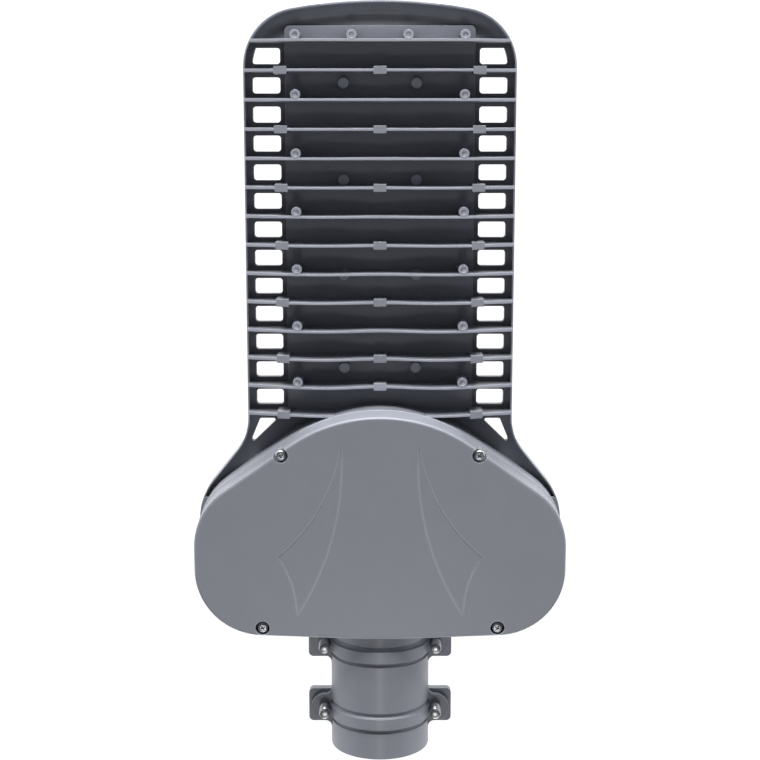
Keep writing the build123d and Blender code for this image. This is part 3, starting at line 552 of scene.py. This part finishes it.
# %% Seals, mouldings and case
silicone = finish("seal_silicone", (0.012, 0.012, 0.013), (0.02, 0.02, 0.021), (0.55, 0.7))
dress(silicone, "cover_gasket", "lens_gasket")
nylon_black = (0.014, 0.014, 0.016), (0.022, 0.022, 0.024), (0.4, 0.55)
dark_nylon = finish("dark_nylon", *nylon_black, edge=0.3)
dress(dark_nylon, "surge_protector", "cable_gland", "gland_nut", "cable_clip")
nylon_cream = (0.66, 0.65, 0.60), (0.74, 0.73, 0.68), (0.4, 0.55)
pale_nylon = finish("pale_nylon", *nylon_cream, edge=0.3)
dress(pale_nylon, "terminal_block")
drawn_aluminium = (0.5, 0.5, 0.51), (0.58, 0.58, 0.59), (0.3, 0.45)
drawn_case = finish("drawn_case", *drawn_aluminium, metal=1.0, edge=0.4)
dress(drawn_case, "led_driver")

# %% [markdown]
# ## LED boards
# White solder mask throws stray light back out of the lens, and the emitters are yellow because of
# the phosphor that turns blue light into white.

# %% Boards and emitters
board_numbers = range(1, 5)
solder_mask = finish("solder_mask", (0.74, 0.75, 0.74), (0.80, 0.81, 0.79), (0.3, 0.4))
dress(solder_mask, *(f"led_board_{number}" for number in board_numbers))
phosphor = finish("phosphor", (0.80, 0.56, 0.08), (0.88, 0.66, 0.12), (0.35, 0.45))
dress(phosphor, *(f"led_chips_{number}" for number in board_numbers))

# %% [markdown]
# ## Clear polycarbonate
# The lens panel bends light through it, so its shader transmits everything and has the refractive
# index of polycarbonate.

# %% Lens material
clear_lens = finish("clear_lens", (0.94, 0.95, 0.95), (0.97, 0.97, 0.97), (0.03, 0.08))
lens_shader = clear_lens.node_tree.nodes["Principled BSDF"]
lens_shader.inputs["Transmission Weight"].default_value = 1.0
lens_shader.inputs["IOR"].default_value = 1.585
dress(clear_lens, "lens_panel")

# %% [markdown]
# ## Finer pieces
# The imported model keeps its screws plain. Here the ones that show get the shape of real ones. Each
# is built once at the origin, seat down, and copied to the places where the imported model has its
# own. Those places are read from the model: vertices that hang together make one solid, and a
# solid's box says where it stands and how big it is.

# %% Where the plain ones stand


def solid_boxes(name):
    """Low and high corner of every separate solid in a CAD node."""
    mesh = bmesh.new()
    mesh.from_mesh(nodes[name].data)
    bmesh.ops.remove_doubles(mesh, verts=mesh.verts, dist=0.001 * mm)
    waiting = set(mesh.verts)
    boxes = []
    while waiting:
        edge_of_growth = [waiting.pop()]
        solid = []
        while edge_of_growth:
            vert = edge_of_growth.pop()
            solid.append(vert.co.copy())
            linked = {edge.other_vert(vert) for edge in vert.link_edges} & waiting
            waiting -= linked
            edge_of_growth.extend(linked)
        low = Vector([min(co[axis] for co in solid) for axis in range(3)])
        high = Vector([max(co[axis] for co in solid) for axis in range(3)])
        boxes.append((low, high))
    mesh.free()
    return sorted(boxes, key=lambda box: (round(box[0].y, 4), round(box[0].x, 4)))


# %% [markdown]
# ## From a mesh to a piece
# A bmesh is only a draft. These helpers copy a draft to all its places, hand it to Blender as an
# object that rides on the head and stands for plain nodes, and carry a ring of edges through
# circles, which is how everything turned on a lathe is drawn here.

# %% Piece helpers


def place_copies(template, moves):
    """One mesh with a copy of the template at every matrix."""
    plain = bpy.data.meshes.new("template")
    template.to_mesh(plain)
    template.free()
    whole = bmesh.new()
    for move in moves:
        moved = plain.copy()
        moved.transform(move)
        whole.from_mesh(moved)
        bpy.data.meshes.remove(moved)
    bpy.data.meshes.remove(plain)
    return whole


def add_piece(name, mesh, material, slot, *replaced):
    """Turn a mesh into a piece that rides on the head and stands for CAD nodes."""
    bmesh.ops.recalc_face_normals(mesh, faces=mesh.faces)
    for face in mesh.faces:
        face.smooth = True
    data = bpy.data.meshes.new(name)
    mesh.to_mesh(data)
    mesh.free()
    data.materials.append(material)
    data.set_sharp_from_angle(angle=radians(35))
    piece = bpy.data.objects.new(name, data)
    bpy.context.scene.collection.objects.link(piece)
    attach(piece, "root")
    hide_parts(*replaced)
    print(name, "faces:", len(data.polygons))


def grow_rings(mesh, edges, profile, centre=(0, 0)):
    """Carry a ring of edges through circles of given radius and height, one after another."""
    middle = Vector((*centre, 0))
    for radius, height in profile:
        grown = bmesh.ops.extrude_edge_only(mesh, edges=edges)["geom"]
        edges = [item for item in grown if isinstance(item, bmesh.types.BMEdge)]
        for vert in {vert for edge in edges for vert in edge.verts}:
            spoke = Vector((vert.co.x, vert.co.y, 0)) - middle
            vert.co = middle + spoke.normalized() * radius + Vector((0, 0, height))
    return edges


# %% [markdown]
# ## Pan head screws with a cross
# The top of the head is a disc with a plus sign in it: three by three grid faces without their
# corners. The plus is pushed down and in for the recess, and the disc's edge is carried out over
# the crown, down the rim, in to the shank and down to its end.

# %% The screw


def pan_screw(head_radius, head_height, shank_radius, length):
    """A pan head screw with a cross recess, its seat at the origin and its head upwards."""
    cross_reach, cross_arm = 0.42 * head_radius, 0.2 * head_radius
    crown_share, rim_share, recess_share, recess_taper = 0.56, 0.42, 0.7, 0.55
    mesh = bmesh.new()
    bmesh.ops.create_grid(mesh, x_segments=3, y_segments=3, size=cross_reach)
    centres = {face: face.calc_center_median() for face in mesh.faces}
    corners = [face for face, at in centres.items() if min(abs(at.x), abs(at.y)) > cross_arm]
    bmesh.ops.delete(mesh, geom=corners, context="FACES")
    plus_faces = list(mesh.faces)
    plus_edges = [edge for edge in mesh.edges if edge.is_boundary]
    bmesh.ops.create_circle(mesh, segments=36, radius=crown_share * head_radius)
    disc_edges = [edge for edge in mesh.edges if not edge.link_faces]
    bmesh.ops.triangle_fill(mesh, edges=disc_edges + plus_edges, use_beauty=True)
    bmesh.ops.translate(mesh, verts=mesh.verts, vec=(0, 0, head_height))
    sunk = bmesh.ops.extrude_face_region(mesh, geom=plus_faces)["geom"]
    floor_verts = [item for item in sunk if isinstance(item, bmesh.types.BMVert)]
    bmesh.ops.delete(mesh, geom=plus_faces, context="FACES_ONLY")
    bmesh.ops.scale(mesh, verts=floor_verts, vec=(recess_taper, recess_taper, 1.0))
    bmesh.ops.translate(mesh, verts=floor_verts, vec=(0, 0, -recess_share * head_height))
    crown = [
        (
            head_radius * (crown_share + (1 - crown_share) * sin(turn)),
            head_height * (rim_share + (1 - rim_share) * cos(turn)),
        )
        for turn in [radians(15 * step) for step in range(1, 7)]
    ]
    skirt = [(head_radius, 0.0), (shank_radius, 0.0), (shank_radius, -length)]
    end = grow_rings(mesh, disc_edges, crown + skirt)
    bmesh.ops.contextual_create(mesh, geom=end)
    return mesh


# %% [markdown]
# ## The cover's screws
# Four of them hold the cover. A screw stops wherever it is tight, so no two crosses point the same
# way.

# %% Four cover screws
cover_heads = solid_boxes("cover_screws")
cover_head_height, cover_shank = 2.6 * mm, 2.0 * mm
cover_moves = [
    Matrix.Translation(((low.x + high.x) / 2, (low.y + high.y) / 2, high.z - cover_head_height))
    @ Matrix.Rotation(radians(25 + 40 * number), 4, "Z")
    for number, (low, high) in enumerate(cover_heads)
]
width, _, tall = cover_heads[0][1] - cover_heads[0][0]
cover_screw = pan_screw(width / 2, cover_head_height, cover_shank, tall - cover_head_height)
cover_set = place_copies(cover_screw, cover_moves)
add_piece("cover_screw_heads", cover_set, zinc, "bright_steel", "cover_screws")

# %% [markdown]
# ## Clamp bolts
# The bolts come up through the saddle and the ear, so their threaded ends show beside the socket.
# A zigzag spun with a rise of one pitch a turn is a thread. A plain core with a chamfered end
# fills it, and the hexagon below is a six-sided circle carried up with a chamfer at its bottom.

# %% The bolt


def clamp_bolt(radius, length, head_height, half_flat):
    """A hex bolt, its seat at the origin, its head downwards and its thread upwards."""
    pitch, depth, lead_in, chamfer, end_gap = 1.25 * mm, 0.65 * mm, 0.2 * mm, 0.3 * mm, 1.2 * mm
    steps_a_turn, end_share, head_share, head_start = 32, 0.8, 0.9, 0.88
    core = radius - depth
    mesh = bmesh.new()
    bmesh.ops.create_circle(mesh, segments=steps_a_turn, radius=core)
    base = list(mesh.edges)
    top = grow_rings(mesh, base, [(core, length - chamfer), (end_share * core, length)])
    bmesh.ops.contextual_create(mesh, geom=top)
    turns = int((length - end_gap) / pitch)
    zigzag = [
        mesh.verts.new((core if step % 2 == 0 else radius, 0, lead_in + pitch * step / 2))
        for step in range(2 * (turns - 1) + 1)
    ]
    lines = [mesh.edges.new(pair) for pair in zip(zigzag, zigzag[1:])]
    bmesh.ops.spin(
        mesh,
        geom=zigzag + lines,
        cent=(0, 0, 0),
        axis=(0, 0, 1),
        angle=2 * pi,
        steps=steps_a_turn,
        dvec=(0, 0, pitch / steps_a_turn),
        use_merge=False,
    )
    corner = half_flat / cos(radians(30))
    before = set(mesh.edges)
    bmesh.ops.create_circle(mesh, segments=6, radius=corner)
    seat = [edge for edge in mesh.edges if edge not in before]
    bmesh.ops.contextual_create(mesh, geom=seat)
    head = [(corner, -head_start * head_height), (head_share * corner, -head_height)]
    bmesh.ops.contextual_create(mesh, geom=grow_rings(mesh, seat, head))
    return mesh


# %% [markdown]
# ## The four bolts
# Two bolts hold each saddle, one on each side of the socket. Their boxes in the model give the
# length and the width across the flats.

# %% Four clamp bolts
bolt_boxes = solid_boxes("clamp_bolts")
bolt_radius, bolt_head_height = 4.0 * mm, 5.3 * mm
bolt_moves = [
    Matrix.Translation(((low.x + high.x) / 2, (low.y + high.y) / 2, low.z + bolt_head_height))
    for low, high in bolt_boxes
]
_, flats, tall = bolt_boxes[0][1] - bolt_boxes[0][0]
bolt = clamp_bolt(bolt_radius, tall - bolt_head_height, bolt_head_height, flats / 2)
bolt_set = place_copies(bolt, bolt_moves)
add_piece("clamp_bolt_threads", bolt_set, galvanised, "bright_steel", "clamp_bolts")

# %% [markdown]
# ## The underside
# Nothing of it shows in the photograph, but the head hangs above the street, so most people see it
# from there. Sixteen screws hold the lens panel. They are the same pan head screw, turned over.

# %% Sixteen lens screws
lens_heads = solid_boxes("lens_screws")
lens_head_height, lens_shank = 2.2 * mm, 1.7 * mm
lens_moves = [
    Matrix.Translation(((low.x + high.x) / 2, (low.y + high.y) / 2, low.z + lens_head_height))
    @ Matrix.Rotation(pi, 4, "X")
    @ Matrix.Rotation(radians(15 + 50 * number), 4, "Z")
    for number, (low, high) in enumerate(lens_heads)
]
width, _, tall = lens_heads[0][1] - lens_heads[0][0]
lens_screw = pan_screw(width / 2, lens_head_height, lens_shank, tall - lens_head_height)
lens_set = place_copies(lens_screw, lens_moves)
add_piece("lens_screw_heads", lens_set, zinc, "bright_steel", "lens_screws")

# %% [markdown]
# ## The lens panel
# The panel is one clear moulding: a sheet with rounded corners, a hole for every screw and a dome
# under every emitter. Rings of edges mark the outline, the holes and the feet of the domes, and
# one fill makes the sheet between them. The outline and the holes are carried up for the sheet's
# thickness, and every dome grows down from its foot.

# %% Rings for the panel


def hole_circle(mesh, centre, radius, height, segments):
    """A ring of edges and no face, to be filled around later."""
    place = Matrix.Translation((*centre, height))
    ring = bmesh.ops.create_circle(mesh, segments=segments, radius=radius, matrix=place)["verts"]
    return list(dict.fromkeys(edge for vert in ring for edge in vert.link_edges))


def rounded_outline(mesh, low, high, radius, height):
    """A closed ring of edges round a rectangle with rounded corners."""
    corners = [
        (high.x - radius, high.y - radius, 0),
        (low.x + radius, high.y - radius, 90),
        (low.x + radius, low.y + radius, 180),
        (high.x - radius, low.y + radius, 270),
    ]
    ring = [
        mesh.verts.new((x + radius * cos(turn), y + radius * sin(turn), height))
        for x, y, start in corners
        for turn in [radians(start + 15 * step) for step in range(7)]
    ]
    return [mesh.edges.new(pair) for pair in zip(ring, ring[1:] + ring[:1])]


# %% The sheet
emitters = [
    ((low.x + high.x) / 2, (low.y + high.y) / 2)
    for number in board_numbers
    for low, high in solid_boxes(f"led_chips_{number}")
]
panel_low, panel_high = solid_boxes("lens_panel")[0]
dome_foot, dome_height = 7.8 * mm, 4.2 * mm
panel_corner, screw_hole = 4.0 * mm, 1.9 * mm
sheet_low = panel_low.z + dome_height
moulding = bmesh.new()
rim_edges = rounded_outline(moulding, panel_low, panel_high, panel_corner, sheet_low)
for move in lens_moves:
    rim_edges += hole_circle(moulding, move.translation.xy, screw_hole, sheet_low, 20)
feet = [hole_circle(moulding, place, dome_foot, sheet_low, 40) for place in emitters]
bmesh.ops.triangle_fill(moulding, edges=list(moulding.edges), use_beauty=True)
raised = bmesh.ops.extrude_edge_only(moulding, edges=rim_edges)["geom"]
top_verts = [item for item in raised if isinstance(item, bmesh.types.BMVert)]
bmesh.ops.translate(moulding, verts=top_verts, vec=(0, 0, panel_high.z - sheet_low))
top_edges = [item for item in raised if isinstance(item, bmesh.types.BMEdge)]
bmesh.ops.triangle_fill(moulding, edges=top_edges, use_beauty=True)
print("emitters:", len(emitters), "sheet in mm:", round((panel_high.z - sheet_low) / mm, 2))

# %% [markdown]
# ## The domes
# A dome is a steep wall that turns over into a nearly flat crown with a slight dip in the middle,
# which spreads the light along the street. Its section is a list of radii and drops in millimetres.

# %% The domes
dome = [(7.6, 1.2), (7.1, 2.3), (6.3, 3.2), (5.2, 3.9), (4.0, 4.2), (2.6, 4.15), (1.3, 3.95)]
dome_rings = [(radius * mm, sheet_low - drop * mm) for radius, drop in dome]
for place, foot in zip(emitters, feet):
    tip = grow_rings(moulding, foot, dome_rings, place)
    bmesh.ops.contextual_create(moulding, geom=tip)
add_piece("lens_panel_domes", moulding, clear_lens, "clear_lens", "lens_panel")
